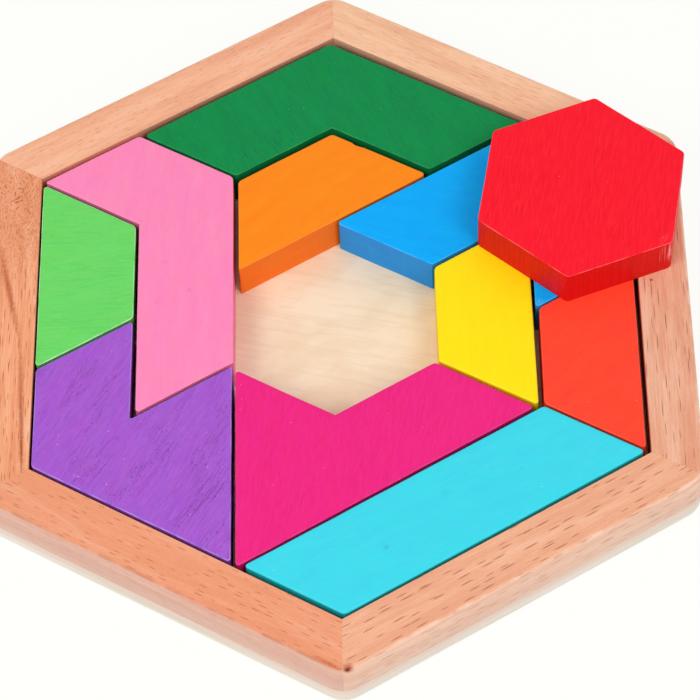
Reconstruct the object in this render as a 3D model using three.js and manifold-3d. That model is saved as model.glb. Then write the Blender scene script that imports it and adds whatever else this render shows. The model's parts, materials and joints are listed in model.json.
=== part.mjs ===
// A hexagonal tray puzzle of painted wooden blocks. Every block is made of whole unit triangles. Ten
// blocks lie in a tray of six mitred beech rails on a base board, around an empty pocket in the middle.
// The block that fits the pocket, a hexagon, rests flat on its neighbours and on the tray's rim.
//
// Millimetres, +Z up. The origin is the centre of the tray's underside, with a tray corner along +Y.

import * as THREE from 'three';
import { mergeVertices } from 'three/addons/utils/BufferGeometryUtils.js';
import Module from 'manifold-3d';

const wasm = await Module();
wasm.setup();

// Blocks

const TRIANGLE_SIDE = 21.3; // side of the unit triangle
const BLOCK_THICKNESS = 8.2;
const BLOCK_GAP = 0.55; // play between two blocks side by side
const BLOCK_EDGE_EASE = 0.35; // rounding of the top and bottom edges
const SHARP_CORNER_RADIUS = 0.25; // rounding of the flat top at the 60 degree corners
const BLUNT_CORNER_RADIUS = 1.15; // the same at the 120 degree corners

// Tray

const WALL_PLAY = 0.7; // from the puzzle's outline to the rails, beside half a block gap
const RAIL_WIDTH = 9.3;
const RAIL_EDGE_RADIUS = 0.7; // rounding of the rim's outer edge
const TRAY_CORNER_RADIUS = 5;
const MITRE_LINE = 0.2; // glue line between two rails
const BASE_THICKNESS = 3.8;

// Facets of the rounded edges

const CORNER_SEGMENTS = 4;
const EDGE_SEGMENTS = 2;

// The whole set of blocks has slid this far from the tray's middle along X and Y, in wall plays
const SET_SLIDE = [-0.57, -0.64];

// Outlines are in steps of the triangle lattice: the first number counts sides towards 30 degrees from
// +X, and the second counts sides along +Y. A block lies a little off its place in the set: lie gives its
// offset along X and Y, and swing how far its turn drifts over one triangle side, both in block gaps.
const BLOCKS = [
  {
    name: 'dark_green_chevron',
    colour: 0x1c8e4c,
    outline: [[-2, 3], [-1, 2], [0, 2], [1, 1], [2, 1], [0, 3]],
    lie: [-0.17, 0.12],
    swing: 0.2,
  },
  {
    name: 'pink_hook',
    colour: 0xff8ab8,
    outline: [[-3, 3], [-2, 2], [-2, 0], [-1, 0], [-1, 2], [-2, 3]],
    lie: [-0.47, 0.27],
    swing: 0.2,
  },
  {
    name: 'light_green_trapezoid',
    colour: 0x6ed869,
    outline: [[-3, 3], [-3, 1], [-2, 1], [-2, 2]],
    lie: [-0.47, 0.02],
    swing: 0,
  },
  {
    name: 'purple_hook',
    colour: 0xaa5ad2,
    outline: [[-3, 1], [-3, 0], [-1, -2], [-1, 0], [-2, 0], [-2, 1]],
    lie: [-0.47, 0.47],
    swing: 0,
  },
  {
    name: 'orange_trapezoid',
    colour: 0xff8c24,
    outline: [[0, 2], [-1, 2], [-1, 1], [1, 1]],
    lie: [0.03, -1.38],
    swing: 0.34,
  },
  {
    name: 'blue_hook',
    colour: 0x1caafa,
    outline: [[0, 1], [1, 0], [2, 0], [2, -1], [3, -1], [3, 0], [2, 1]],
    lie: [-0.47, -1.08],
    swing: 0.2,
  },
  {
    name: 'yellow_trapezoid',
    colour: 0xffe61c,
    outline: [[1, 0], [1, -1], [2, -2], [2, 0]],
    lie: [-0.12, -1.08],
    swing: 0.4,
  },
  {
    name: 'red_orange_trapezoid',
    colour: 0xff4c34,
    outline: [[2, -1], [2, -2], [3, -3], [3, -1]],
    lie: [0.93, 0.27],
    swing: 0,
  },
  {
    name: 'magenta_hook',
    colour: 0xf02882,
    outline: [[-1, 0], [-1, -2], [2, -2], [1, -1], [0, -1]],
    lie: [-0.52, -0.98],
    swing: 0.2,
  },
  {
    name: 'cyan_parallelogram',
    colour: 0x46dceb,
    outline: [[2, -2], [-1, -2], [0, -3], [3, -3]],
    lie: [1.43, 0.42],
    swing: 0.07,
  },
];

// The hexagonal block lies on top, its centre at a place on the lattice, turned by an angle in degrees
const HEXAGON = {
  name: 'red_hexagon',
  colour: 0xff2234,
  outline: [[0, 1], [-1, 1], [-1, 0], [0, -1], [1, -1], [1, 0]],
  place: [2.5, -0.26],
  turn: -10.1,
};

// The rails in turn from +X, anticlockwise
const RAILS = [
  { name: 'right_rail', colour: 0xeeb08a },
  { name: 'back_right_rail', colour: 0xf3bd9a },
  { name: 'back_left_rail', colour: 0xf2b593 },
  { name: 'left_rail', colour: 0xe9a078 },
  { name: 'front_left_rail', colour: 0xee9d78 },
  { name: 'front_right_rail', colour: 0xefb18b },
];
const BASE_COLOUR = 0xeadcc4;
const PAINT_ROUGHNESS = 0.45;
const WOOD_ROUGHNESS = 0.6;

// Worked out

const SIXTH_TURN = Math.PI / 3;
const APOTHEM_PER_SIDE = Math.sin(SIXTH_TURN);
const STEPS_TO_CORNER = Math.max(...BLOCKS.flatMap(({ outline }) => outline.flat()));
const INNER_APOTHEM = STEPS_TO_CORNER * TRIANGLE_SIDE * APOTHEM_PER_SIDE + WALL_PLAY;
const OUTER_APOTHEM = INNER_APOTHEM + RAIL_WIDTH;
const RAIL_HEIGHT = BLOCK_THICKNESS; // the rim is flush with the blocks
const RIM_TOP = BASE_THICKNESS + RAIL_HEIGHT;

function latticePoint([i, j]) {
  const x = i * Math.cos(SIXTH_TURN / 2);
  const y = i * Math.sin(SIXTH_TURN / 2) + j;
  return new THREE.Vector2(x, y).multiplyScalar(TRIANGLE_SIDE);
}

// Unit vector from one point to the next, and the edge's outward side on an anticlockwise outline
const along = (from, to) => to.clone().sub(from).normalize();
const outward = (direction) => new THREE.Vector2(direction.y, -direction.x);

// An anticlockwise outline with every edge moved inwards by a distance
function inset(points, distance) {
  return points.map((point, k) => {
    const before = outward(along(points.at(k - 1), point));
    const after = outward(along(point, points[(k + 1) % points.length]));
    const shift = before.clone().add(after).multiplyScalar(distance / (1 + before.dot(after)));
    return point.clone().sub(shift);
  });
}

// The shape inside an anticlockwise outline. Its inner corners are sharp, and its outer corners have the
// radius that radiusAt gives for the angle by which the outline bends there.
function roundedShape(points, radiusAt) {
  const shape = new THREE.Shape();
  points.forEach((corner, k) => {
    const before = along(points.at(k - 1), corner);
    const after = along(corner, points[(k + 1) % points.length]);
    const bend = Math.atan2(before.cross(after), before.dot(after));
    if (bend < 0) {
      shape.lineTo(corner.x, corner.y);
      return;
    }
    const radius = radiusAt(bend);
    const start = corner.clone().addScaledVector(before, -radius * Math.tan(bend / 2));
    const centre = start.clone().addScaledVector(outward(before), -radius);
    const from = outward(before).angle();
    shape.absarc(centre.x, centre.y, radius, from, from + bend, false);
  });
  shape.closePath();
  return shape;
}

// A slab from z = 0 up to a thickness, with a flat top of the given shape. From there its edges round
// outwards by the ease, at the top and at the bottom.
function easedSlab(flatTop, thickness, ease) {
  const slab = new THREE.ExtrudeGeometry(flatTop, {
    depth: thickness - 2 * ease,
    bevelThickness: ease,
    bevelSize: ease,
    bevelSegments: EDGE_SEGMENTS,
    curveSegments: CORNER_SEGMENTS,
  });
  return slab.translate(0, 0, ease);
}

function solidOf(geometry) {
  geometry.deleteAttribute('normal');
  geometry.deleteAttribute('uv');
  const merged = mergeVertices(geometry);
  const vertProperties = merged.getAttribute('position').array;
  const triVerts = new Uint32Array(merged.index.array);
  return new wasm.Manifold(new wasm.Mesh({ numProp: 3, vertProperties, triVerts }));
}

function geometryOf(solid) {
  const { vertProperties, triVerts } = solid.getMesh();
  const geometry = new THREE.BufferGeometry();
  geometry.setAttribute('position', new THREE.BufferAttribute(vertProperties, 3));
  geometry.setIndex(new THREE.BufferAttribute(triVerts, 1));
  geometry.computeVertexNormals();
  return geometry;
}

function namedMesh(name, geometry, color, roughness) {
  const material = new THREE.MeshStandardMaterial({ color, roughness, metalness: 0 });
  const mesh = new THREE.Mesh(geometry, material);
  mesh.name = name;
  return mesh;
}

// The tray's outline, or the one that lies inside it by a margin
function trayShape(margin) {
  const corner = new THREE.Vector2(0, OUTER_APOTHEM / APOTHEM_PER_SIDE);
  const centre = new THREE.Vector2();
  const corners = RAILS.map((rail, k) => corner.clone().rotateAround(centre, k * SIXTH_TURN));
  return roundedShape(inset(corners, margin), () => TRAY_CORNER_RADIUS - margin);
}

function baseBoard() {
  const geometry = new THREE.ExtrudeGeometry(trayShape(0), {
    depth: BASE_THICKNESS,
    bevelEnabled: false,
    curveSegments: CORNER_SEGMENTS,
  });
  return namedMesh('base_board', geometry, BASE_COLOUR, WOOD_ROUGHNESS);
}

// The rail on the +X side, standing on z = 0: a slab of the tray's outline with a rounded upper edge,
// cut to the sector between two mitre lines and to the tray's inner wall
function railGeometry() {
  const below = 2 * RAIL_EDGE_RADIUS;
  const slab = easedSlab(trayShape(RAIL_EDGE_RADIUS), RAIL_HEIGHT + below, RAIL_EDGE_RADIUS);
  slab.translate(0, 0, -below);
  const reach = OUTER_APOTHEM + RAIL_WIDTH;
  const halfLength = (apothem) =>
    apothem * Math.tan(SIXTH_TURN / 2) - MITRE_LINE / 2 / Math.cos(SIXTH_TURN / 2);
  const sector = new THREE.Shape([
    new THREE.Vector2(INNER_APOTHEM, -halfLength(INNER_APOTHEM)),
    new THREE.Vector2(reach, -halfLength(reach)),
    new THREE.Vector2(reach, halfLength(reach)),
    new THREE.Vector2(INNER_APOTHEM, halfLength(INNER_APOTHEM)),
  ]);
  const wedge = new THREE.ExtrudeGeometry(sector, { depth: 2 * RAIL_HEIGHT, bevelEnabled: false });
  return geometryOf(solidOf(slab).intersect(solidOf(wedge)));
}

function rails() {
  const geometry = railGeometry();
  return RAILS.map(({ name, colour }, k) => {
    const rail = namedMesh(name, geometry, colour, WOOD_ROUGHNESS);
    rail.position.z = BASE_THICKNESS;
    rail.rotation.z = k * SIXTH_TURN;
    return rail;
  });
}

function outlineCentre(points) {
  const sum = new THREE.Vector2();
  points.forEach((point) => sum.add(point));
  return sum.divideScalar(points.length);
}

const blockCornerRadius = (bend) =>
  bend > Math.PI / 2 ? SHARP_CORNER_RADIUS : BLUNT_CORNER_RADIUS;

// A block around the middle of its own outline, standing on z = 0
function block({ name, colour, outline }) {
  const points = outline.map(latticePoint);
  const centre = outlineCentre(points);
  const own = points.map((point) => point.sub(centre));
  const flatTop = roundedShape(inset(own, BLOCK_GAP / 2 + BLOCK_EDGE_EASE), blockCornerRadius);
  const geometry = easedSlab(flatTop, BLOCK_THICKNESS, BLOCK_EDGE_EASE);
  return namedMesh(name, geometry, colour, PAINT_ROUGHNESS);
}

function blockInTray(data) {
  const mesh = block(data);
  const home = outlineCentre(data.outline.map(latticePoint));
  const slide = new THREE.Vector2(...SET_SLIDE).multiplyScalar(WALL_PLAY);
  const lie = new THREE.Vector2(...data.lie).multiplyScalar(BLOCK_GAP);
  const place = home.add(slide).add(lie);
  mesh.position.set(place.x, place.y, BASE_THICKNESS);
  mesh.rotation.z = Math.atan((data.swing * BLOCK_GAP) / TRIANGLE_SIDE);
  return mesh;
}

function blockOnTop(data) {
  const mesh = block(data);
  const place = latticePoint(data.place);
  mesh.position.set(place.x, place.y, RIM_TOP);
  mesh.rotation.z = THREE.MathUtils.degToRad(data.turn);
  return mesh;
}

const tray = new THREE.Group();
tray.add(baseBoard(), ...rails());

const puzzle = new THREE.Group();
puzzle.add(tray, ...BLOCKS.map(blockInTray), blockOnTop(HEXAGON));

export default puzzle;
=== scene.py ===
import json
import math

import bmesh
import bpy
from mathutils import Matrix, Vector, noise


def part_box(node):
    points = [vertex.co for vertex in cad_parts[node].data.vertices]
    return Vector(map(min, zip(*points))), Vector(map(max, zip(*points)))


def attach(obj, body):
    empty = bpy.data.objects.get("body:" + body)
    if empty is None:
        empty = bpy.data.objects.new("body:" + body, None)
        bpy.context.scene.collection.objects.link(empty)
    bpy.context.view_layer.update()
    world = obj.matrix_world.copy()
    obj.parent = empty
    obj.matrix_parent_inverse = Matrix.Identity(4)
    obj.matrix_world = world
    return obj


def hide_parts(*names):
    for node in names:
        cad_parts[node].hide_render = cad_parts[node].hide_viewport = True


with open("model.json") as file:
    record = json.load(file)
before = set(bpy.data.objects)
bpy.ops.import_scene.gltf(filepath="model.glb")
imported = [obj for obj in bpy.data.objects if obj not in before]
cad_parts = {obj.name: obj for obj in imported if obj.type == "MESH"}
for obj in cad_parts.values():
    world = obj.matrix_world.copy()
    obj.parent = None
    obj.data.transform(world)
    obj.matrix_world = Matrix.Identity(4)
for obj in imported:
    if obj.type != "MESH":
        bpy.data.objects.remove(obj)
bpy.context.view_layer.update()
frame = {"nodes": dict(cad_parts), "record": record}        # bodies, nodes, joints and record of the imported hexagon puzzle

# Units and what the frame says
MM = 0.001
RECORD = frame["record"]
BODY_OF = {node: body for body, nodes in RECORD["behaviour"]["bodies"].items() for node in nodes}
SIXTH = math.radians(60)
HALF_SIXTH = math.radians(30)

# Tray, from the boxes of its nodes
RAIL_LOW, RAIL_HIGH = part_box("right_rail")
BOARD_LOW, BOARD_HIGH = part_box("base_board")
INNER = RAIL_LOW[0]
OUTER = RAIL_HIGH[0]
RIM = RAIL_HIGH[2]
BOARD_TOP = BOARD_HIGH[2]
SHARP_REACH = OUTER / math.cos(HALF_SIXTH)
TRAY_CORNER = (SHARP_REACH - BOARD_HIGH[1]) / (1 / math.cos(HALF_SIXTH) - 1)

# Glue film in the mitres: its thickness, and how far it lies below the wood
MITRE_LINE = 0.03 * MM
GLUE_SINK = 0.02 * MM

# Edges and sides of the wood
RAIL_OUTER_ROUND = 0.7 * MM
RAIL_INNER_ROUND = 0.15 * MM
SEAM_EASE = 0.12 * MM
BOARD_FOOT_ROUND = 0.6 * MM
BLUNT_CORNER = 1.25 * MM
SHARP_CORNER = 0.6 * MM
REFLEX_CORNER = 0.2 * MM
CRISP_CORNER = 0.3 * MM
CRISP_REACH = 3.0 * MM
SHARP_TURN = math.radians(90)
SHOULDER_WIDTH = 1.0 * MM
SHOULDER_DROP = 0.02 * MM
SHOULDER_WEIGHT = 0.2
WALL_MARGIN = 0.15 * MM
HAND_WOBBLE = 0.05 * MM
SANDED_BACK = 0.05 * MM
WOBBLE_LENGTH = 7.0 * MM
WOBBLE_SHIFT = Vector((17.3, 5.9, 31.7))
CHIP_HEIGHT = 2.0 * MM

# Reading of the CAD outlines: points welded, length of a side at least, and tilt of a wall's normal at most
WELD = 0.001 * MM
LONG_EDGE = 2.0 * MM
WALL_TILT = 0.5

# Fineness of the meshes
LEAST_ARC = 0.05 * MM
EDGE_STEP = 1.0 * MM
ARC_STEPS = 6
ROUND_STEPS = 5
SHOULDER_STEPS = 4
RAIL_STEPS = 36

# Dashes and spots in the materials: rims as shares of the half size, grains in mm or in spot radii
LEAST_DASH = 0.5
DASH_RIM = (1.0, 0.45)
SPOT_GRAIN = 0.6
SPOT_RAGGED = 0.8
SPOT_RIM = (1.3, 0.45)
CURL_SIZE = 5.0


def linear(red, green, blue):
    """A colour written in 0-255 screen values, as the linear values that shaders take."""
    def channel(value):
        value /= 255
        return value / 12.92 if value <= 0.04045 else ((value + 0.055) / 1.055) ** 2.4
    return (channel(red), channel(green), channel(blue), 1.0)


def toned(colour, gain):
    """A linear colour made lighter or darker by a factor."""
    return tuple(gain * value for value in colour[:3]) + (1.0,)


class Shader:
    """The nodes of a material or a world under construction, with short ways to add them."""

    def __init__(self, owner):
        self.owner = owner
        owner.use_nodes = True
        self.tree = owner.node_tree
        self.tree.nodes.clear()

    def add(self, kind, inputs, output=0, **settings):
        """Adds a node and gives one of its outputs. An input is a plain value or another node's output."""
        node = self.tree.nodes.new(kind)
        for key, value in settings.items():
            setattr(node, key, value)
        for key, value in inputs.items():
            if isinstance(value, bpy.types.NodeSocket):
                self.tree.links.new(value, node.inputs[key])
            else:
                node.inputs[key].default_value = value
        return node.outputs[output]

    def math(self, operation, first, second=0.0):
        return self.add("ShaderNodeMath", {0: first, 1: second}, operation=operation)

    def times(self, first, second):
        return self.math("MULTIPLY", first, second)

    def opposite(self, value):
        """1 where the value is 0, and 0 where it is 1."""
        return self.math("SUBTRACT", 1.0, value)

    def between(self, value, low, high):
        """From low where the value is 0 to high where it is 1."""
        return self.add("ShaderNodeMapRange", {"Value": value, "To Min": low, "To Max": high})

    def ramp(self, value, low, high):
        """0 below low, 1 above high, smooth between; low may be the larger one."""
        sockets = {"Value": value, "From Min": low, "From Max": high}
        return self.add("ShaderNodeMapRange", sockets, interpolation_type="SMOOTHSTEP")

    def blend(self, factor, first, second, mode="MIX"):
        """From the first colour at factor 0 to the second at 1, or to both joined as the mode says."""
        sockets = {0: factor, 6: first, 7: second}
        return self.add("ShaderNodeMix", sockets, output=2, data_type="RGBA", blend_type=mode)

    def vector(self, operation, first, second):
        return self.add("ShaderNodeVectorMath", {0: first, 1: second}, operation=operation)

    def length(self, vector):
        return self.add("ShaderNodeVectorMath", {0: vector}, output="Value", operation="LENGTH")

    def parts(self, vector):
        """The three parts of a vector."""
        node = self.tree.nodes.new("ShaderNodeSeparateXYZ")
        self.tree.links.new(vector, node.inputs[0])
        return tuple(node.outputs)

    def place(self):
        """A point's place on the object in metres, which stays with the piece when it moves."""
        return self.add("ShaderNodeTexCoord", {}, output="Object")

    def height(self):
        return self.parts(self.place())[2]

    def upward(self):
        """1 on flat tops and undersides, 0 on upright walls."""
        normal = self.add("ShaderNodeTexCoord", {}, output="Normal")
        return self.math("ABSOLUTE", self.parts(normal)[2])

    def edge(self):
        """The edge weight that the mesh carries: 1 halfway round an edge, low on a shoulder, 0 on faces."""
        return self.add("ShaderNodeAttribute", {}, output="Fac", attribute_name="edge")

    def seen(self):
        """1 for what is seen straight, in gloss or through glass, 0 for rays that only carry light."""
        seen = self.add("ShaderNodeLightPath", {}, output="Is Camera Ray")
        for ray in ("Is Glossy Ray", "Is Transmission Ray"):
            seen = self.math("MAXIMUM", seen, self.add("ShaderNodeLightPath", {}, output=ray))
        return seen

    def grain_space(self, angle, along, across, upright=None, shift=0.0, place=None):
        """Places counted in grains: along and across the grain's direction, in millimetres per grain."""
        sockets = {
            "Vector": place or self.place(),
            "Location": (0.0, 0.0, shift * MM),
            "Rotation": (0.0, 0.0, math.radians(angle)),
            "Scale": (along * MM, across * MM, (upright or across) * MM),
        }
        return self.add("ShaderNodeMapping", sockets, vector_type="TEXTURE")

    def face_space(self, angle, shift=0.0, place=None):
        """Millimetres along and across a direction, unrolled so that tops and walls share one plane."""
        along, across, up = self.parts(self.grain_space(angle, 1.0, 1.0, place=place))
        return self.add(
            "ShaderNodeCombineXYZ", {0: self.math("ADD", along, shift), 1: self.math("ADD", across, up)})

    def noise(self, space, detail=3.0, distortion=0.0):
        sockets = {"Vector": space, "Scale": 1.0, "Detail": detail, "Distortion": distortion}
        return self.add("ShaderNodeTexNoise", sockets)

    def noise_colour(self, space):
        """Three noises at once, as a colour or a vector."""
        return self.add("ShaderNodeTexNoise", {"Vector": space, "Scale": 1.0, "Detail": 1.0}, output=1)

    def curled_place(self, centre, radius, reach):
        """Places that are stirred round a centre, by up to the reach; all three are in millimetres."""
        stir = self.noise_colour(self.grain_space(0, CURL_SIZE, CURL_SIZE))
        stir = self.vector("SUBTRACT", stir, (0.5, 0.5, 0.5))
        amount = self.times(self.spot(centre, radius), 2 * reach * MM)
        stir = self.add("ShaderNodeVectorMath", {0: stir, "Scale": amount}, operation="SCALE")
        return self.vector("ADD", self.place(), stir)

    def dashes(self, face, cell, size, share):
        """Soft-ended dashes of up to a size in millimetres, one in each cell of the face or in a share."""
        grid = self.vector("DIVIDE", face, (*cell, 1.0))
        cells = self.tree.nodes.new("ShaderNodeTexVoronoi")
        cells.voronoi_dimensions = "2D"
        cells.inputs["Scale"].default_value = 1.0
        cells.inputs["Randomness"].default_value = 1.0
        self.tree.links.new(grid, cells.inputs["Vector"])
        presence, largeness, _ = self.parts(cells.outputs["Color"])
        offset = self.vector("SUBTRACT", grid, cells.outputs["Position"])
        halves = (2 * cell[0] / size[0], 2 * cell[1] / size[1], 0.0)
        reach = self.length(self.vector("MULTIPLY", offset, halves))
        reach = self.math("DIVIDE", reach, self.between(largeness, LEAST_DASH, 1.0))
        return self.times(self.ramp(reach, *DASH_RIM), self.math("LESS_THAN", presence, share))

    def spot(self, centre, radius, angle=0.0, stretch=1.0):
        """1 at a place on the object, 0 beyond its uneven rim; in millimetres, stretched along the angle."""
        sockets = {
            "Vector": self.place(),
            "Location": tuple(MM * value for value in centre),
            "Rotation": (0.0, 0.0, math.radians(angle)),
            "Scale": (radius * stretch * MM, radius * MM, radius * MM),
        }
        reach = self.length(self.add("ShaderNodeMapping", sockets, vector_type="TEXTURE"))
        grain = SPOT_GRAIN * radius
        ragged = self.times(self.noise(self.grain_space(0, grain, grain)), SPOT_RAGGED)
        return self.ramp(self.math("ADD", reach, ragged), *SPOT_RIM)

    def finish(self, colour, roughness, specular, height, relief):
        """Ends in a principled surface whose bump is a height between 0 and 1 over the relief."""
        bump = self.add("ShaderNodeBump", {"Height": height, "Strength": 1.0, "Distance": relief})
        sockets = {
            "Base Color": colour,
            "Roughness": roughness,
            "Specular IOR Level": specular,
            "Normal": bump,
        }
        return self.end(self.add("ShaderNodeBsdfPrincipled", sockets))

    def end(self, surface, output="ShaderNodeOutputMaterial"):
        """Links the finished surface and gives the material or world."""
        last = self.tree.nodes.new(output)
        self.tree.links.new(surface, last.inputs["Surface"])
        return self.owner


# Paint of each block. Colours are screen values: of the tops, of the sides, which are the top's paint set
# mostly darker as painted shade of the walls, of spots worn pale, which also colours the pale edges and the
# red hexagon's painted reflection, and, where a block has one, of the brow, the band along its top edges.
# Angles are in degrees from +X, and grain_angle is how the wood's grain lies. Mottle, grain, side_grain,
# pores, specks and the edges' wear and sheen are shares of the full effect; the last pales the eased edges,
# partly as wear and partly as a painted highlight. Ease is the rounding of the edges and sanded how far the
# sides are set back, both in mm, and crisp lists places in mm of corners that stayed sharp. Marks and scuffs
# are (place in mm, radius in mm, depth), strokes are (place in mm, radius in mm, stroke length in mm, angle,
# depth), and chips are (place in mm, radius in mm, depth in mm).
PAINTS = {
    "dark_green_chevron": {
        "colour": (8, 139, 72), "sides": (7, 128, 66), "grain_angle": -62, "mottle": 0.05,
        "grain": 0.03, "side_grain": 0.04, "pores": 0.15, "specks": 0.10, "wear_and_sheen": 0.30,
        "worn": (120, 200, 150), "ease": 0.16,
        "strokes": [
            ((-16.5, 37.6, 12.0), 4.0, 2.4, -62, 1.0), ((-10.9, 39.8, 12.0), 4.5, 1.8, -58, 1.0),
            ((15.0, 45.0, 12.0), 6.0, 1.8, -50, 0.5), ((10.5, 51.4, 12.0), 2.2, 1.2, -60, 0.9),
            ((5.0, 47.3, 12.0), 2.4, 1.0, -70, 0.7), ((16.2, 49.4, 12.0), 1.6, 1.2, -60, 0.7),
        ],
    },
    "pink_hook": {
        "colour": (255, 139, 187), "sides": (255, 130, 176), "grain_angle": 88, "mottle": 0.02,
        "grain": 0.015, "side_grain": 0.03, "pores": 0.0, "specks": 0.05, "wear_and_sheen": 0.25,
        "worn": (255, 214, 228), "ease": 0.16, "crisp": [(-20.0, -11.8), (-55.5, 30.0)],
        "marks": [
            ((-32.2, 12.2, 12.0), 1.0, 0.10), ((-27.6, 5.6, 12.0), 0.6, 0.22),
            ((-33.5, 3.1, 12.0), 1.4, 0.08), ((-37.1, 21.8, 12.0), 0.8, 0.10),
        ],
    },
    "light_green_trapezoid": {
        "colour": (109, 217, 102), "sides": (98, 200, 92), "grain_angle": 4, "mottle": 0.03,
        "grain": 0.04, "side_grain": 0.04, "pores": 0.15, "specks": 0.08, "wear_and_sheen": 0.95,
        "worn": (226, 250, 220), "ease": 0.18,
        "strokes": [((-49.0, 6.0, 12.0), 5.0, 3.0, 14, 0.3)],
    },
    "purple_hook": {
        "colour": (169, 90, 208), "sides": (150, 76, 188), "grain_angle": 60, "mottle": 0.06,
        "grain": 0.09, "side_grain": 0.05, "pores": 0.80, "specks": 0.10, "wear_and_sheen": 0.30,
        "worn": (236, 214, 248), "brow": (150, 98, 216), "ease": 0.30, "sanded": 0.12,
        "crisp": [(-20.0, -11.8)],
        "strokes": [((-25.0, -40.0, 12.0), 9.0, 6.0, 56, 0.9)],
        "scuffs_and_reflection": [((-47.0, -34.2, 12.0), 0.4, 1.0)],
    },
    "orange_trapezoid": {
        "colour": (255, 138, 22), "sides": (255, 125, 30), "grain_angle": 36, "mottle": 0.015,
        "grain": 0.012, "side_grain": 0.02, "pores": 0.0, "specks": 0.05, "wear_and_sheen": 0.20,
        "worn": (255, 196, 140), "ease": 0.16, "crisp": [(-18.0, 10.0)],
        "chips": [((4.0, 37.8), 1.3, 0.5)],
    },
    "blue_hook": {
        "colour": (2, 173, 254), "sides": (42, 154, 240), "grain_angle": -20, "mottle": 0.025,
        "grain": 0.02, "side_grain": 0.03, "pores": 0.10, "specks": 0.10, "wear_and_sheen": 0.30,
        "worn": (150, 220, 252), "ease": 0.18, "crisp": [(18.0, 10.0)],
        "scuffs_and_reflection": [((37.2, 0.5, 12.0), 1.6, 0.6)],
    },
    "yellow_trapezoid": {
        "colour": (254, 228, 14), "sides": (255, 214, 6), "grain_angle": 88, "mottle": 0.01,
        "grain": 0.006, "side_grain": 0.03, "pores": 0.0, "specks": 0.01, "wear_and_sheen": 0.10,
        "worn": (255, 246, 170), "ease": 0.38, "crisp": [(18.0, -11.8)],
    },
    "red_orange_trapezoid": {
        "colour": (255, 71, 47), "sides": (250, 62, 38), "grain_angle": 44, "mottle": 0.015,
        "grain": 0.02, "side_grain": 0.04, "pores": 0.0, "specks": 0.05, "wear_and_sheen": 0.20,
        "worn": (255, 170, 150), "ease": 0.20,
    },
    "magenta_hook": {
        "colour": (242, 36, 130), "sides": (220, 28, 112), "grain_angle": 78, "mottle": 0.045,
        "grain": 0.035, "side_grain": 0.04, "pores": 0.0, "specks": 0.12, "wear_and_sheen": 0.25,
        "worn": (252, 150, 196), "brow": (226, 40, 122), "ease": 0.16,
    },
    "cyan_parallelogram": {
        "colour": (63, 216, 234), "sides": (36, 196, 204), "grain_angle": 25, "mottle": 0.015,
        "grain": 0.015, "side_grain": 0.02, "pores": 0.0, "specks": 0.02, "wear_and_sheen": 0.08,
        "worn": (186, 244, 248), "brow": (43, 217, 233), "ease": 0.38,
        "marks": [
            ((8.0, -50.6, 12.0), 0.9, 0.25), ((8.0, -50.6, 12.0), 2.4, 0.05),
            ((18.7, -39.8, 12.0), 1.6, 0.07), ((22.4, -35.8, 12.0), 0.8, 0.08),
            ((32.7, -35.0, 12.0), 0.5, 0.14), ((27.5, -34.9, 12.0), 0.4, 0.08),
        ],
        "strokes": [((3.0, -49.6, 12.0), 1.8, 2.4, -32, 0.3)],
    },
    "red_hexagon": {
        "colour": (254, 20, 43), "sides": (227, 19, 15), "grain_angle": 78, "mottle": 0.03,
        "grain": 0.05, "side_grain": 0.11, "pores": 0.0, "specks": 0.02, "wear_and_sheen": 0.35,
        "worn": (252, 172, 168), "ease": 0.18,
        "strokes": [((34.0, 16.0, 20.2), 2.5, 2.4, 76, 0.9)],
        # The pale patch near the hexagon's right corner is a painted reflection on its side and top edge.
        "scuffs_and_reflection": [((61.9, 7.6, 17.5), 4.0, 0.8)],
    },
}


# Grains in the paint, in mm along and across the wood's grain, and for the saw marks also upright
MOTTLE_GRAIN = (1.6, 0.5)
TINT_GRAIN = (7.0, 2.0)
FIBRE_GRAIN = (3.6, 0.36)
PATCH_GRAIN = (12.0, 4.0)
PORE_GRAIN = (0.7, 0.4)
SAW_GRAIN = (0.3, 0.3, 12.0)
RUB_GRAIN = (3.0, 3.0)
SPECK_CELL = (3.0, 3.0)
SPECK_SIZE = (0.24, 0.24)

# Strokes in the paint: cells and strokes as shares of the stroke length, rows and widths in mm
STROKE_CELL = 1.3
STROKE_ROW = 0.9
STROKE_REACH = 1.2
STROKE_WIDTH = 0.30
STROKE_SHARE = 0.8

# Values between which an effect in the paint sets in
MOTTLE_DARK = (0.66, 0.34)
FIBRE_RAISED = (0.45, 0.70)
FIBRE_SUNK = (0.55, 0.36)
PATCH_RIM = (0.42, 0.62)
PORE_RIM = (0.59, 0.65)
SAW_DARK = (0.60, 0.40)
SCRATCH_RIM = (0.48, 0.62)
RUB_RIM = (0.25, 0.55)
TOP_FACE = (0.1, 0.5)

# Strengths in the paint
TINT_SHARE = 0.16
DEEP_TONE = 0.35
THIN_LEAST = 0.008
THIN_SHARE = 0.2
STREAKS_LEAST = 0.25
PORE_DEPTH = 0.65
SPECK_DEPTH = 0.8
BROW_DEPTH = 0.45
MOTTLE_HEIGHT = 0.4
PAINT_ROUGHNESS = (0.42, 0.58)
PAINT_GLOSS = 0.12
PAINT_RELIEF = 0.012 * MM


def deep(look):
    """The dark tone of a block's streaks, pores and marks."""
    return toned(linear(*look["colour"]), DEEP_TONE)


def paint_coat(shader, look, upward, mottle):
    """The paint itself, in its colours for tops and sides, uneven in tint and tone; the sides' colour is
    painted shade of the walls.
    """
    # The walls take the sides colour, a mostly darker copy of the top's paint: painted shade of the walls.
    colour = shader.blend(upward, linear(*look["sides"]), linear(*look["colour"]))
    tint = shader.noise_colour(shader.grain_space(look["grain_angle"], *TINT_GRAIN))
    colour = shader.blend(TINT_SHARE, colour, tint, "SOFT_LIGHT")
    uneven = shader.ramp(mottle, *MOTTLE_DARK)
    return shader.blend(shader.times(uneven, 2 * look["mottle"]), colour, deep(look))


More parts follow.
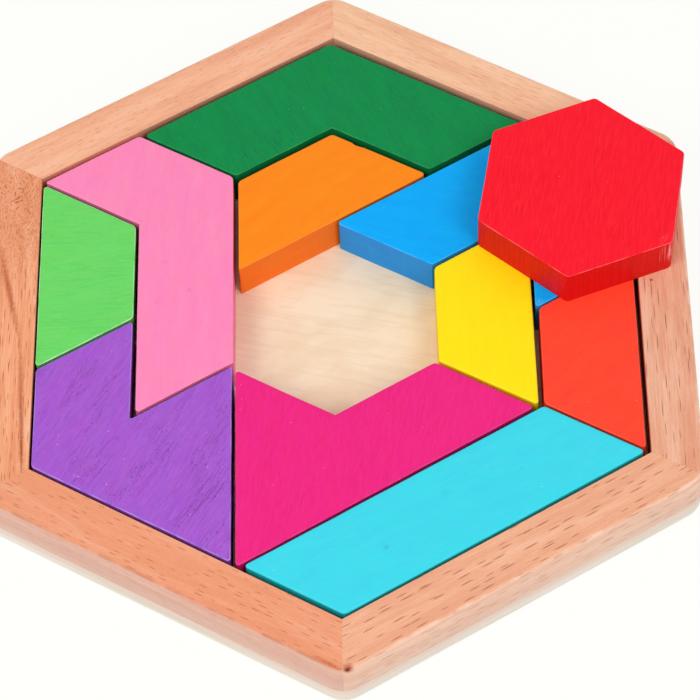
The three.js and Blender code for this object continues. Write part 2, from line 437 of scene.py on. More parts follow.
def paint_grain(shader, look, colour, fibre, patches):
    """Paint that is thin over raised fibres and deep between them, more so in patches."""
    raised = shader.ramp(fibre, *FIBRE_RAISED)
    thin = shader.times(raised, THIN_LEAST + THIN_SHARE * look["grain"])
    colour = shader.blend(thin, colour, linear(*look["worn"]))
    streaks = shader.times(shader.ramp(fibre, *FIBRE_SUNK), shader.math("ADD", patches, STREAKS_LEAST))
    return shader.blend(shader.times(streaks, 2 * look["grain"]), colour, deep(look))


def paint_pores(shader, look, patches):
    """Open pores in the same patches, and the strokes that lie at certain places."""
    pores = shader.noise(shader.grain_space(look["grain_angle"], *PORE_GRAIN), detail=2.0)
    pores = shader.times(shader.ramp(pores, *PORE_RIM), shader.times(patches, look["pores"]))
    for centre, radius, length, lie, depth in look.get("strokes", []):
        cell = (STROKE_CELL * length, STROKE_ROW)
        size = (STROKE_REACH * length, STROKE_WIDTH)
        strokes = shader.dashes(shader.face_space(lie), cell, size, STROKE_SHARE)
        area = shader.times(shader.spot(centre, radius), depth)
        pores = shader.math("MAXIMUM", pores, shader.times(strokes, area))
    return pores


def paint_flaws(shader, look, colour, scratches):
    """Pale specks, dark marks, and pale scuffed patches; on the red hexagon such a patch is a painted
    reflection.
    """
    worn = linear(*look["worn"])
    specks = shader.dashes(shader.face_space(0), SPECK_CELL, SPECK_SIZE, look["specks"])
    colour = shader.blend(shader.times(specks, SPECK_DEPTH), colour, worn)
    for centre, radius, depth in look.get("marks", []):
        colour = shader.blend(shader.times(shader.spot(centre, radius), depth), colour, deep(look))
    # Pale scuffed patches: real scuffs, and on the red hexagon a painted reflection.
    for centre, radius, depth in look.get("scuffs_and_reflection", []):
        scuff_and_reflection = shader.times(shader.spot(centre, radius), shader.times(scratches, depth))
        colour = shader.blend(scuff_and_reflection, colour, worn)
    return colour


def paint_edges(shader, look, colour):
    """The brow's tone where a block has one, and edges worn pale, partly a painted highlight."""
    edge = shader.edge()
    if "brow" in look:
        brow = shader.times(shader.ramp(edge, 0.0, SHOULDER_WEIGHT), BROW_DEPTH)
        colour = shader.blend(brow, colour, linear(*look["brow"]))
    rubs = shader.noise(shader.grain_space(0, *RUB_GRAIN), detail=4.0)
    # Pale eased edges: partly wear, partly a painted highlight along the edges that catch the light.
    rubbed_and_sheen = shader.ramp(shader.times(edge, rubs), *RUB_RIM)
    return shader.blend(shader.times(rubbed_and_sheen, look["wear_and_sheen"]), colour, linear(*look["worn"]))


def paint(name, look):
    """Satin paint on wood: grain and pores show through it; edges worn paler, partly a painted highlight;
    painted shade on walls.
    """
    shader = Shader(bpy.data.materials.new(name))
    angle = look["grain_angle"]
    upward = shader.ramp(shader.upward(), *TOP_FACE)
    mottle = shader.noise(shader.grain_space(angle, *MOTTLE_GRAIN), detail=4.0)
    fibre = shader.noise(shader.grain_space(angle, *FIBRE_GRAIN), detail=4.0)
    patches = shader.ramp(shader.noise(shader.grain_space(angle, *PATCH_GRAIN)), *PATCH_RIM)
    saw_marks = shader.noise(shader.grain_space(0, *SAW_GRAIN))
    pores = paint_pores(shader, look, patches)
    colour = paint_coat(shader, look, upward, mottle)
    colour = paint_grain(shader, look, colour, fibre, patches)
    sawn = shader.times(shader.ramp(saw_marks, *SAW_DARK), shader.opposite(upward))
    colour = shader.blend(shader.times(sawn, 2 * look["side_grain"]), colour, deep(look))
    colour = shader.blend(shader.times(pores, PORE_DEPTH), colour, deep(look))
    colour = paint_flaws(shader, look, colour, shader.ramp(saw_marks, *SCRATCH_RIM))
    colour = paint_edges(shader, look, colour)
    grain_height = shader.math("SUBTRACT", shader.times(fibre, patches), pores)
    height = shader.math("ADD", shader.times(mottle, MOTTLE_HEIGHT), grain_height)
    return shader.finish(colour, shader.between(mottle, *PAINT_ROUGHNESS), PAINT_GLOSS, height, PAINT_RELIEF)


# Beech: each rail's own cut of the wood. Colours are screen values: of the top; of the outer side, paler
# than the top, partly the wood's other cut and partly painted light; of the inner wall towards the blocks, a
# little darker, as painted shade of the gaps; and of the arris, the worn edge, which where it is pale is
# partly a painted highlight. Rays are (cell that holds one, as length along the rail and width in mm; size
# in mm; share of the cells that have one; strength of their colour), and wall_rays is the share of that
# strength on walls. Figure is the strength of the growth figure. A burl is (place in mm, radius in mm), and
# stains are (place in mm, half width in mm, stretch, angle of the stretch, colour).
BEECH = {
    "right_rail": {
        "top": (235, 171, 140), "side": (250, 208, 184), "inner": (226, 156, 126), "arris": (255, 230, 208),
        "rays": ((6.0, 1.1), (5.6, 0.26), 0.66, 0.66), "ray_colour": (124, 64, 44), "figure": 0.18,
        "stains": [((58.4, 5.0, 12.0), 0.5, 1.0, 0, (96, 52, 40))],
    },
    "back_right_rail": {
        "top": (249, 196, 159), "side": (252, 214, 190), "inner": (246, 182, 152), "arris": (255, 230, 208),
        "rays": ((3.4, 1.2), (2.8, 0.32), 0.55, 0.30), "ray_colour": (190, 115, 80), "figure": 0.14,
    },
    "back_left_rail": {
        "top": (248, 183, 147), "side": (252, 210, 186), "inner": (236, 164, 134), "arris": (255, 230, 208),
        "rays": ((2.4, 1.0), (1.8, 0.32), 0.60, 0.32), "ray_colour": (186, 108, 76), "figure": 0.14,
    },
    "left_rail": {
        "top": (246, 168, 125), "side": (250, 204, 180), "inner": (222, 146, 108), "arris": (226, 150, 114),
        "rays": ((4.0, 0.9), (3.6, 0.24), 0.65, 0.62), "ray_colour": (146, 70, 42), "figure": 0.20,
        "burl": ((-60.5, 26.0, 12.0), 24.0),
        "stains": [
            ((-61.2, 6.5, 12.0), 1.0, 17.0, 102, (190, 104, 64)),
            ((-57.9, -20.0, 12.0), 0.8, 30.0, 93, (190, 104, 68)),
            ((-57.5, -28.5, 12.0), 0.45, 14.0, 93, (166, 76, 44)),
        ],
    },
    "front_left_rail": {
        "top": (237, 156, 118), "side": (230, 183, 164), "inner": (226, 152, 116), "arris": (176, 106, 78),
        "rays": ((3.4, 1.1), (2.6, 0.23), 0.60, 0.58), "ray_colour": (152, 72, 34), "figure": 0.10,
        "stains": [((-2.4, -73.4, 11.8), 0.7, 7.0, -30, (192, 98, 56))],
    },
    "front_right_rail": {
        "top": (240, 177, 143), "side": (244, 202, 178), "inner": (226, 152, 116), "arris": (255, 230, 208),
        "rays": ((4.6, 1.4), (4.0, 0.42), 0.66, 0.62), "ray_colour": (156, 88, 62), "figure": 0.12,
        "wall_rays": 0.85,
        "stains": [
            ((0.9, -74.4, 11.6), 1.7, 1.0, 0, (172, 74, 40)),
            ((0.8, -74.4, 11.6), 0.9, 1.0, 0, (116, 36, 18)),
        ],
    },
}

# The way each rail faces, in degrees from +X
RAIL_ANGLES = {
    "right_rail": 0, "back_right_rail": 60, "back_left_rail": 120,
    "left_rail": 180, "front_left_rail": 240, "front_right_rail": 300,
}


# Grains in the beech, in mm along and across the rail, and for the layers also upright
FIGURE_GRAIN = (30.0, 2.6)
WOOD_FIBRE_GRAIN = (5.0, 0.22)
LAYER_GRAIN = (40.0, 40.0, 0.5)
ARRIS_GRAIN = (5.0, 40.0)
HAIR_CELL = (0.9, 0.5)
HAIR_SIZE = (1.0, 0.24)
HAIR_SHARE = 0.85
BURL_REACH = 3.0
SHIFT_PER_DEGREE = 17.0

# Values between which an effect in the beech sets in
WOOD_TOP_FACE = (0.2, 0.9)
TONE_DARK = (0.56, 0.38)
TONE_PALE = (0.50, 0.66)
LAYER_DARK = (0.52, 0.38)
ARRIS_WEAR_AND_SHEEN = (0.42, 0.60)

# Where a rail's inner face sets in, in mm outside the inner wall, and how high painted light pales its walls
INNER_RIM = (0.12, 0.04)
FOOT_LIGHT_HEIGHT = 4.0 * MM

# Colours and strengths in the beech
FIGURE_BROWN = linear(204, 112, 74)
FIGURE_PALE = linear(255, 226, 202)
BURL_BROWN = linear(214, 126, 90)
LAYER_BROWN = linear(196, 130, 104)
FOOT_PAINTED_LIGHT = linear(240, 218, 202)
FIGURE_SHARE = 0.55
DARK_GAIN = 2.0
PALE_GAIN = 1.5
BURL_DEPTH = 0.30
WALL_RAYS = 0.5
HAIR_DEPTH = (0.10, 0.75)
LAYER_DEPTH = 0.16
FOOT_LIGHT_DEPTH = 0.42
ARRIS_DEPTH = (0.10, 0.50)
STAIN_DEPTH = 0.9
BEECH_ROUGHNESS = (0.46, 0.62)
WOOD_GLOSS = 0.15
BEECH_RELIEF = 0.02 * MM


def beech_figure(shader, look, upward, tone, gnarled):
    """The wood's colour with its growth figure, browner in the burl."""
    # The outer side's paler colour is partly the wood's other cut and partly painted light.
    colour = shader.blend(upward, linear(*look["side"]), linear(*look["top"]))
    dark = shader.times(shader.ramp(tone, *TONE_DARK), DARK_GAIN * look["figure"])
    colour = shader.blend(dark, colour, FIGURE_BROWN)
    pale = shader.times(shader.ramp(tone, *TONE_PALE), PALE_GAIN * look["figure"])
    colour = shader.blend(pale, colour, FIGURE_PALE)
    return shader.blend(shader.times(gnarled, BURL_DEPTH), colour, BURL_BROWN)


def beech_rays(shader, look, colour, face, rays, upward, gnarled):
    """Dark rays, fainter on the walls, and short hairs that are strong in the burl."""
    ray_colour = linear(*look["ray_colour"])
    strength = look["rays"][-1]
    depth = shader.between(upward, look.get("wall_rays", WALL_RAYS) * strength, strength)
    colour = shader.blend(shader.times(rays, depth), colour, ray_colour)
    hairs = shader.dashes(face, HAIR_CELL, HAIR_SIZE, HAIR_SHARE)
    return shader.blend(shader.times(hairs, shader.between(gnarled, *HAIR_DEPTH)), colour, ray_colour)


def beech_walls(shader, colour, wall, layers):
    """Fine lines along the walls, and painted light from the table that pales them towards the foot."""
    lines = shader.times(shader.ramp(layers, *LAYER_DARK), shader.times(wall, LAYER_DEPTH))
    colour = shader.blend(lines, colour, LAYER_BROWN)
    # Painted light: the walls are paler towards the foot, as light from the white table.
    foot = shader.ramp(shader.height(), BOARD_TOP + FOOT_LIGHT_HEIGHT, BOARD_TOP)
    return shader.blend(shader.times(foot, shader.times(wall, FOOT_LIGHT_DEPTH)), colour, FOOT_PAINTED_LIGHT)


def beech_wear(shader, look, colour, worn, inward):
    """Worn edges, pale ones partly a painted highlight, stains, and the inner wall in a darker colour of its
    own, painted shade of the gaps.
    """
    # Where the arris colour is pale it is partly wear and partly a painted highlight along the rounded outer
    # edge.
    depth = shader.between(shader.ramp(worn, *ARRIS_WEAR_AND_SHEEN), *ARRIS_DEPTH)
    colour = shader.blend(shader.times(shader.edge(), depth), colour, linear(*look["arris"]))
    for centre, width, stretch, lie, stain in look.get("stains", []):
        stained = shader.times(shader.spot(centre, width, lie, stretch), STAIN_DEPTH)
        colour = shader.blend(stained, colour, linear(*stain))
    # The inner wall takes a darker colour: painted shade of the narrow gaps between rail and blocks.
    far, near = INNER_RIM
    inner_wall_shade = shader.ramp(inward, -(INNER / MM + far), -(INNER / MM + near))
    return shader.blend(inner_wall_shade, colour, linear(*look["inner"]))


def beech(name, look, rail_angle):
    """Sanded beech: long fibres, growth figure, and the short dark rays that lie along the rail."""
    shader = Shader(bpy.data.materials.new(name))
    angle = rail_angle + 90
    shift = SHIFT_PER_DEGREE * rail_angle
    burl = look.get("burl")
    place = shader.curled_place(*burl, BURL_REACH) if burl else shader.place()
    gnarled = shader.spot(*burl) if burl else 0.0
    upward = shader.ramp(shader.upward(), *WOOD_TOP_FACE)
    figure = shader.grain_space(angle, *FIGURE_GRAIN, shift=shift, place=place)
    figure = shader.noise(figure, detail=4.0, distortion=0.5)
    fibre = shader.grain_space(angle, *WOOD_FIBRE_GRAIN, shift=shift, place=place)
    fibre = shader.noise(fibre, detail=5.0)
    tone = shader.math("ADD", shader.times(figure, FIGURE_SHARE), shader.times(fibre, 1 - FIGURE_SHARE))
    face = shader.face_space(angle, shift, place)
    rays = shader.times(shader.dashes(face, *look["rays"][:-1]), shader.opposite(gnarled))
    layers = shader.noise(shader.grain_space(angle, *LAYER_GRAIN, shift=shift))
    worn = shader.noise(shader.grain_space(angle, *ARRIS_GRAIN, shift=shift))
    inward = shader.parts(shader.grain_space(angle, 1.0, 1.0))[1]
    colour = beech_figure(shader, look, upward, tone, gnarled)
    colour = beech_rays(shader, look, colour, face, rays, upward, gnarled)
    colour = beech_walls(shader, colour, shader.opposite(upward), layers)
    colour = beech_wear(shader, look, colour, worn, inward)
    height = shader.math("SUBTRACT", tone, rays)
    return shader.finish(colour, shader.between(tone, *BEECH_ROUGHNESS), WOOD_GLOSS, height, BEECH_RELIEF)


# The base board's colours and grains. Grains are (angle, mm along, mm across), and the plies' also upright
VENEER_CREAM = linear(244, 221, 188)
VENEER_PALE = linear(251, 232, 203)
VENEER_BROWN = linear(222, 186, 142)
PLY_UPPER = linear(229, 208, 194)
PLY_PAINTED_LIGHT = linear(237, 230, 219)
PLY_BROWN = linear(206, 184, 160)
CLOUD_GRAIN = (20, 9.0, 6.0)
VENEER_GRAIN = (-14, 12.0, 0.9)
PLY_GRAIN = (0, 40.0, 40.0, 0.5)
CLOUD_RIM = (0.32, 0.68)
VENEER_DARK = (0.52, 0.36)
PLY_DARK = (0.52, 0.38)
BOARD_FACE = (0.3, 0.8)
VENEER_DEPTH = 0.16
PLY_DEPTH = 0.34
PLY_LIGHT_HEIGHT = 0.25 * BOARD_TOP
BOARD_ROUGHNESS = (0.55, 0.70)
BOARD_RELIEF = 0.015 * MM


def plywood():
    """The base board: a cream veneer with soft clouds and faint grain, and an edge painted paler downwards,
    painted light from the table.
    """
    shader = Shader(bpy.data.materials.new("pale_plywood"))
    clouds = shader.noise(shader.grain_space(*CLOUD_GRAIN), distortion=0.4)
    veneer = shader.noise(shader.grain_space(*VENEER_GRAIN), detail=4.0, distortion=0.8)
    face = shader.blend(shader.ramp(clouds, *CLOUD_RIM), VENEER_CREAM, VENEER_PALE)
    face = shader.blend(shader.times(shader.ramp(veneer, *VENEER_DARK), VENEER_DEPTH), face, VENEER_BROWN)
    # The edge pales downwards: painted light from the white table.
    rim = shader.blend(shader.ramp(shader.height(), BOARD_TOP, PLY_LIGHT_HEIGHT), PLY_UPPER, PLY_PAINTED_LIGHT)
    plies = shader.noise(shader.grain_space(*PLY_GRAIN))
    rim = shader.blend(shader.times(shader.ramp(plies, *PLY_DARK), PLY_DEPTH), rim, PLY_BROWN)
    colour = shader.blend(shader.ramp(shader.upward(), *BOARD_FACE), rim, face)
    return shader.finish(colour, shader.between(veneer, *BOARD_ROUGHNESS), WOOD_GLOSS, veneer, BOARD_RELIEF)


# The glue in the mitres
GLUE_DULL = linear(222, 172, 148)
GLUE_PALE = linear(240, 204, 184)
GLUE_INNER_DARK = linear(104, 60, 44)
GLUE_GRAIN = (0, 2.5, 2.5)
GLUE_RIM = (0.35, 0.65)
GLUE_DARK_REACH = 4.0 * MM
GLUE_ROUGHNESS = 0.6
GLUE_GLOSS = 0.3
GLUE_RELIEF = 0.02 * MM


def wood_glue():
    """Dried glue in the mitres, pale, and darker towards the inner corners."""
    shader = Shader(bpy.data.materials.new("mitre_glue"))
    cloudy = shader.noise(shader.grain_space(*GLUE_GRAIN))
    colour = shader.blend(shader.ramp(cloudy, *GLUE_RIM), GLUE_DULL, GLUE_PALE)
    inner_corner = INNER / math.cos(HALF_SIXTH)
    # Darker towards the inner corners of the tray.
    towards_inner_corner = shader.ramp(shader.length(shader.place()), inner_corner + GLUE_DARK_REACH, inner_corner)
    colour = shader.blend(towards_inner_corner, colour, GLUE_INNER_DARK)
    return shader.finish(colour, GLUE_ROUGHNESS, GLUE_GLOSS, cloudy, GLUE_RELIEF)


# The table
TABLE_WHITE = linear(247, 247, 245)
TABLE_LIGHT = linear(251, 251, 249)
TABLE_SEEN = linear(255, 255, 252)
TABLE_GRAIN = (0, 40.0, 40.0)
SEEN_SHARE = 0.88


def floor_white():
    """A white table: it catches the object's shadow, and reads as plain white to the eye and in gloss."""
    shader = Shader(bpy.data.materials.new("white_table"))
    colour = shader.blend(shader.noise(shader.grain_space(*TABLE_GRAIN)), TABLE_WHITE, TABLE_LIGHT)
    table = shader.add("ShaderNodeBsdfDiffuse", {"Color": colour})
    white = shader.add("ShaderNodeEmission", {"Color": TABLE_SEEN, "Strength": 1.0})
    share = shader.times(shader.seen(), SEEN_SHARE)
    return shader.end(shader.add("ShaderNodeMixShader", {0: share, 1: table, 2: white}))


def flat(vector):
    return Vector((vector.x, vector.y))


def widest_outline(node):
    """The points of a node's outline, anticlockwise, at the level where the node is widest."""
    solid = bmesh.new()
    solid.from_mesh(frame["nodes"][node].data)
    bmesh.ops.remove_doubles(solid, verts=solid.verts, dist=WELD)
    levels = {}
    for vertex in solid.verts:
        levels.setdefault(round(vertex.co.z / WELD), []).append(vertex)

    def width(level):
        return max(v.co.x for v in level) - min(v.co.x for v in level)

    widest = set(max(levels.values(), key=width))
    neighbours = {vertex: [] for vertex in widest}
    walls = [
        edge for edge in solid.edges
        if set(edge.verts) <= widest and any(abs(face.normal.z) < WALL_TILT for face in edge.link_faces)
    ]
    for edge in walls:
        first, second = edge.verts
        neighbours[first].append(second)
        neighbours[second].append(first)
    last = walls[0].verts[0]
    loop = [last]
    step = neighbours[last][0]
    while step is not loop[0]:
        loop.append(step)
        ahead = [vertex for vertex in neighbours[step] if vertex is not last]
        last, step = step, ahead[0]
    points = [flat(vertex.co) for vertex in loop]
    solid.free()
    if sum(a.cross(b) for a, b in zip(points, points[1:] + points[:1])) < 0:
        points.reverse()
    return points


def outline_corners(node):
    """The corners, anticlockwise, that a node's widest outline has before they are rounded."""
    points = widest_outline(node)
    sides = [(a, b) for a, b in zip(points, points[1:] + points[:1]) if (b - a).length > LONG_EDGE]
    corners = []
    for (a, b), (c, d) in zip(sides[-1:] + sides[:-1], sides):
        reach = (c - a).cross(d - c) / (b - a).cross(d - c)
        corners.append(a + (b - a) * reach)
    return corners


def ring(corners, inset, corner_radius):
    """The rounded outline of the corners, moved inwards, with as many points at any inset."""
    count = len(corners)
    arcs = []
    for index, corner in enumerate(corners):
        before = (corner - corners[index - 1]).normalized()
        after = (corners[(index + 1) % count] - corner).normalized()
        turn = math.atan2(before.cross(after), before.dot(after))
        inward = Vector((-before.y - after.y, before.x + after.x)).normalized()
        tip = corner + inward * (inset / math.cos(turn / 2))
        if turn > 0:
            radius = max(corner_radius(corner, turn) - inset, LEAST_ARC)
        else:
            radius = -(REFLEX_CORNER + inset)
        centre = tip + inward * (radius / math.cos(turn / 2))
        spoke = Vector((before.y, -before.x)) * radius
        arcs.append([
            centre + Matrix.Rotation(turn * step / ARC_STEPS, 2) @ spoke for step in range(ARC_STEPS + 1)
        ])
    points = []
    for index, arc in enumerate(arcs):
        following = arcs[(index + 1) % count][0]
        length = (corners[(index + 1) % count] - corners[index]).length
        steps = max(1, round(length / EDGE_STEP))
        points += arc
        points += [arc[-1].lerp(following, step / steps) for step in range(1, steps)]
    return points


def skin(name, rings):
    """A closed mesh over a row of rings of (point, edge weight), with a face over each end."""
    mesh = bpy.data.meshes.new(name)
    shell = bmesh.new()
    weight = shell.verts.layers.float.new("edge")
    rows = []
    for points in rings:
        row = []
        for point, edge in points:
            vertex = shell.verts.new(point)
            vertex[weight] = edge
            row.append(vertex)
        rows.append(row)
    count = len(rows[0])
    for lower, upper in zip(rows, rows[1:]):
        for index in range(count):
            following = (index + 1) % count
            face = shell.faces.new((lower[index], lower[following], upper[following], upper[index]))
            face.smooth = True
    for cap in (list(reversed(rows[0])), rows[-1]):
        for edge in shell.faces.new(cap).edges:
            edge.smooth = False
    bmesh.ops.recalc_face_normals(shell, faces=shell.faces)
    shell.to_mesh(mesh)
    shell.free()
    piece = bpy.data.objects.new(name, mesh)
    bpy.context.scene.collection.objects.link(piece)
    return piece


def quarter_round(radius):
    """Steps of a rounded edge, from the upright wall to the flat: (inset, drop below the flat, weight)."""
    steps = []
    for step in range(ROUND_STEPS + 1):
        angle = math.pi / 2 * step / ROUND_STEPS
        steps.append((radius * (1 - math.cos(angle)), radius * (1 - math.sin(angle)), math.sin(2 * angle)))
    return steps


def block_profile(low, high, ease):
    """A block's edge from its foot to its top: (inset, height, edge weight)."""
    foot = [(inset, low + drop, weight) for inset, drop, weight in reversed(quarter_round(ease))]
    wall_top = high - ease - SHOULDER_DROP
    walls = [(0.0, low + ease + WALL_MARGIN, 0.0), (0.0, wall_top - WALL_MARGIN, 0.0)]
    upper = [(inset, high - SHOULDER_DROP - drop, weight) for inset, drop, weight in quarter_round(ease)]
    shoulder = []
    for step in range(1, SHOULDER_STEPS + 1):
        share = step / SHOULDER_STEPS
        weight = SHOULDER_WEIGHT * (1 - share)
        shoulder.append((ease + SHOULDER_WIDTH * share, high - SHOULDER_DROP * (1 - share) ** 2, weight))
    return foot + walls + upper + shoulder


def dress(piece, node, material):
    """Gives a piece its material and puts it in the place of its CAD node."""
    piece.data.materials.append(material)
    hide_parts(node)
    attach(piece, BODY_OF[node])


def block_corner(look):
    """How far each corner of a block is rounded, by its place and by how sharply the outline turns."""
    crisp = [Vector(place) * MM for place in look.get("crisp", [])]

    def radius(corner, turn):
        if any((corner - place).length < CRISP_REACH for place in crisp):
            return CRISP_CORNER
        return SHARP_CORNER if turn > SHARP_TURN else BLUNT_CORNER

    return radius


def worked_point(point, height, look, middle, top):
    """A point of a block's outline as the hand left it: a little off its line, and knocked in at chips."""
    spot = Vector((point.x, point.y, height)) / WOBBLE_LENGTH
    wave = Vector((noise.noise(spot), noise.noise(spot + WOBBLE_SHIFT)))
    place = point + wave * HAND_WOBBLE
    for chip, radius, depth in look.get("chips", []):
        near = 1 - (point - Vector(chip) * MM).length / (radius * MM)
        if near > 0 and top - height < CHIP_HEIGHT:
            place += (middle - point).normalized() * near * depth * MM
    return Vector((place.x, place.y, height))


def painted_block(node, look):
    """One painted block, sanded by hand: soft edges, a low shoulder and slightly wavy sides."""
    low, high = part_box(node)
    corners = outline_corners(node)
    middle = sum(corners, Vector((0.0, 0.0))) / len(corners)
    rounding = block_corner(look)
    sanded = look["sanded"] * MM if "sanded" in look else SANDED_BACK
    rings = []
    for inset, height, weight in block_profile(low[2], high[2], look["ease"] * MM):
        points = ring(corners, inset + sanded, rounding)
        rings.append([(worked_point(point, height, look, middle, high[2]), weight) for point in points])
    dress(skin(f"painted_{node}", rings), node, paint(f"{node}_paint", look))


def rail_profile(inner, outer, setback=0.0):
    """A rail's section as (point in plan, height, edge weight), from the inner foot over the top."""
    across = (outer - inner).normalized()
    length = (outer - inner).length
    inner_wall = RIM - RAIL_INNER_ROUND - WALL_MARGIN
    outer_wall = RIM - RAIL_OUTER_ROUND - WALL_MARGIN
    inside = quarter_round(RAIL_INNER_ROUND)
    outside = reversed(quarter_round(RAIL_OUTER_ROUND))
    section = [(0.0, BOARD_TOP, 0.0), (0.0, inner_wall, 0.0)]
    section += [(inset, RIM - drop, weight) for inset, drop, weight in inside]
    section += [(RAIL_INNER_ROUND + WALL_MARGIN, RIM, 0.0)]
    section += [(length - RAIL_OUTER_ROUND - WALL_MARGIN, RIM, 0.0)]
    section += [(length - inset, RIM - drop, weight) for inset, drop, weight in outside]
    section += [(length, outer_wall, 0.0), (length, BOARD_TOP + SEAM_EASE, 0.0)]
    section += [(length - SEAM_EASE, BOARD_TOP, 0.0)]
    middle = Vector((length / 2, (RIM + BOARD_TOP) / 2))
    points = []
    for distance, height, weight in section:
        pulled = Vector((distance, height))
        pulled += (middle - pulled).normalized() * setback
        points.append((inner + across * pulled.x, pulled.y, weight))
    return points


def rail_stations():
    """Pairs of plan points on the rail's inner and outer face, from one mitre to the other."""
    straight = (OUTER - TRAY_CORNER) * math.tan(HALF_SIXTH)
    bend = [HALF_SIXTH * step / ARC_STEPS for step in range(ARC_STEPS + 1)]
    end = [
        Vector((OUTER - TRAY_CORNER * (1 - math.cos(angle)), straight + TRAY_CORNER * math.sin(angle)))
        for angle in bend
    ]
    middle = [Vector((OUTER, straight * (2 * step / RAIL_STEPS - 1))) for step in range(1, RAIL_STEPS)]
    outer = [Vector((point.x, -point.y)) for point in reversed(end)] + middle + end
    setback = MITRE_LINE / 2 / math.cos(HALF_SIXTH)
    inner_end = INNER * math.tan(HALF_SIXTH)
    pairs = []
    for point in outer:
        share = point.y / end[-1].y
        limit = point.x * math.tan(HALF_SIXTH) - setback
        placed = Vector((point.x, max(-limit, min(limit, point.y))))
        pairs.append((Vector((INNER, share * (inner_end - setback))), placed))
    return pairs


def turned(angle, point, height):
    """A plan point of the rail on +X, turned about the tray's centre, at a height."""
    plan = Matrix.Rotation(angle, 2) @ point
    return Vector((plan.x, plan.y, height))


def beech_rail(node):
    """One rail between its two mitres, with its outer edge and corner ends rounded."""
    angle = math.radians(RAIL_ANGLES[node])
    rings = []
    for inner, outer in rail_stations():
        section = rail_profile(inner, outer)
        rings.append([(turned(angle, point, height), weight) for point, height, weight in section])
    dress(skin(f"beech_{node}", rings), node, beech(f"{node}_beech", BEECH[node], RAIL_ANGLES[node]))


def glue_line(number, material):
    """The thin glue film in one mitre, a little below the wood around it."""
    angle = SIXTH * number
    inner, outer = rail_stations()[-1]
    section = rail_profile(inner, outer, GLUE_SINK)
    film = Vector((-math.sin(HALF_SIXTH), math.cos(HALF_SIXTH))) * MITRE_LINE
    rings = []
    for offset in (0.0, 1.0):
        rings.append([(turned(angle, point + film * offset, height), 0.0) for point, height, _ in section])
    piece = skin(f"mitre_glue_{number + 1}", rings)
    piece.data.materials.append(material)
    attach(piece, BODY_OF["base_board"])


def plywood_board():
    """The base board under the rails, with a rounded foot and an eased upper edge."""
    corners = outline_corners("base_board")
    wall_top = BOARD_TOP - SEAM_EASE
    foot = [(inset, BOARD_LOW[2] + drop) for inset, drop, _ in reversed(quarter_round(BOARD_FOOT_ROUND))]
    upper = [(0.0, wall_top - WALL_MARGIN), (0.0, wall_top), (SEAM_EASE, BOARD_TOP)]
    rings = []
    for inset, height in foot + upper:
        points = ring(corners, inset, lambda corner, turn: TRAY_CORNER)
        rings.append([(Vector((point.x, point.y, height)), 0.0) for point in points])
    dress(skin("plywood_base_board", rings), "base_board", plywood())


# The object
plywood_board()
for rail in RAIL_ANGLES:
    beech_rail(rail)
glue = wood_glue()
for mitre in range(len(RAIL_ANGLES)):
    glue_line(mitre, glue)
for block, look in PAINTS.items():
    painted_block(block, look)


# Stage, light and camera, with sizes and places in metres, power in watts, and lens and sensor in mm
FLOOR_SIZE = 6.0
ROOM_WHITE = linear(255, 255, 255)
ROOM_LEVEL = 0.63
SOFTBOXES = {
    "left_softbox": {"place": Vector((-0.36, -0.32, 0.57)), "size": 0.30, "power": 1.6},
    "right_softbox": {"place": Vector((0.32, -0.36, 0.57)), "size": 0.30, "power": 1.3},
}
CAMERA_TARGET = Vector((2.211, -8.736, 12.0)) * MM
CAMERA_DISTANCE = 591.0 * MM
CAMERA_AZIMUTH = math.radians(1.682)
CAMERA_ELEVATION = math.radians(56.653)
CAMERA_ROLL = math.radians(-3.004)
CAMERA_LENS = 165.43
CAMERA_SENSOR = 36.0


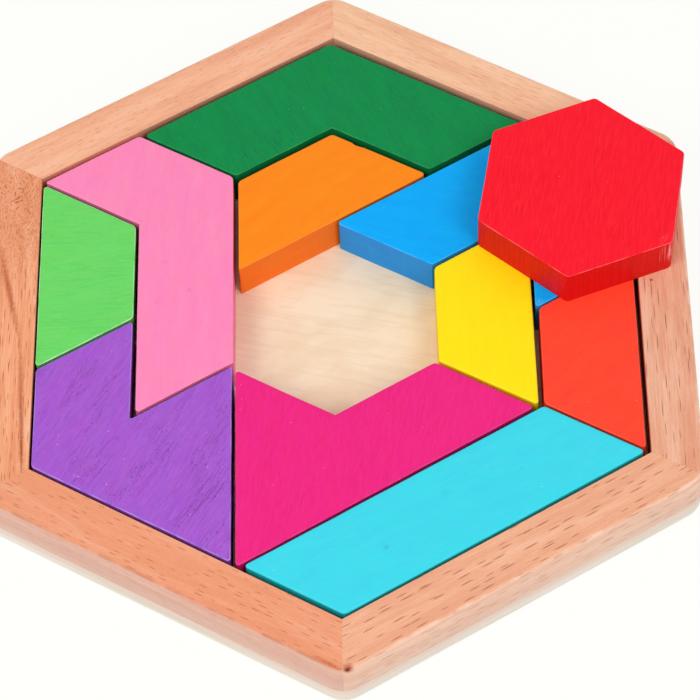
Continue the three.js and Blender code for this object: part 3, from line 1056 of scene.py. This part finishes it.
def lay_floor():
    """The table that the object lies on, wide enough to fill the view."""
    mesh = bpy.data.meshes.new("table")
    half = FLOOR_SIZE / 2
    corners = [(-half, -half, 0.0), (half, -half, 0.0), (half, half, 0.0), (-half, half, 0.0)]
    mesh.from_pydata(corners, [], [(0, 1, 2, 3)])
    table = bpy.data.objects.new("table", mesh)
    table.data.materials.append(floor_white())
    bpy.context.scene.collection.objects.link(table)


def set_world():
    """An even white room for the light, and plain white for the eye and in gloss."""
    shader = Shader(bpy.data.worlds.new("studio"))
    room = shader.add("ShaderNodeBackground", {"Color": ROOM_WHITE, "Strength": ROOM_LEVEL})
    white = shader.add("ShaderNodeBackground", {"Color": ROOM_WHITE, "Strength": 1.0})
    mixed = shader.add("ShaderNodeMixShader", {0: shader.seen(), 1: room, 2: white})
    bpy.context.scene.world = shader.end(mixed, "ShaderNodeOutputWorld")


def hang_softbox(name, softbox):
    """A square soft light that faces the object."""
    lamp = bpy.data.lights.new(name, "AREA")
    lamp.shape = "SQUARE"
    lamp.size = softbox["size"]
    lamp.energy = softbox["power"]
    hung = bpy.data.objects.new(name, lamp)
    hung.location = softbox["place"]
    hung.rotation_euler = softbox["place"].to_track_quat("Z", "Y").to_euler()
    bpy.context.scene.collection.objects.link(hung)


def aim_camera():
    """The photo's viewpoint: azimuth, elevation and roll about the target, through a long lens."""
    level = math.cos(CAMERA_ELEVATION)
    back = Vector((
        math.sin(CAMERA_AZIMUTH) * level,
        -math.cos(CAMERA_AZIMUTH) * level,
        math.sin(CAMERA_ELEVATION),
    ))
    right = Vector((0.0, 0.0, 1.0)).cross(back).normalized()
    up = back.cross(right)
    tilted_right = math.cos(CAMERA_ROLL) * right + math.sin(CAMERA_ROLL) * up
    tilted_up = math.cos(CAMERA_ROLL) * up - math.sin(CAMERA_ROLL) * right
    lens = bpy.data.cameras.new("photo_camera")
    lens.lens = CAMERA_LENS
    lens.sensor_width = CAMERA_SENSOR
    camera = bpy.data.objects.new("photo_camera", lens)
    axes = Matrix((tilted_right, tilted_up, back)).transposed().to_4x4()
    camera.matrix_world = Matrix.Translation(CAMERA_TARGET + back * CAMERA_DISTANCE) @ axes
    bpy.context.scene.collection.objects.link(camera)
    bpy.context.scene.camera = camera


lay_floor()
set_world()
for name, softbox in SOFTBOXES.items():
    hang_softbox(name, softbox)
aim_camera()
bpy.context.scene.view_settings.view_transform = "Standard"
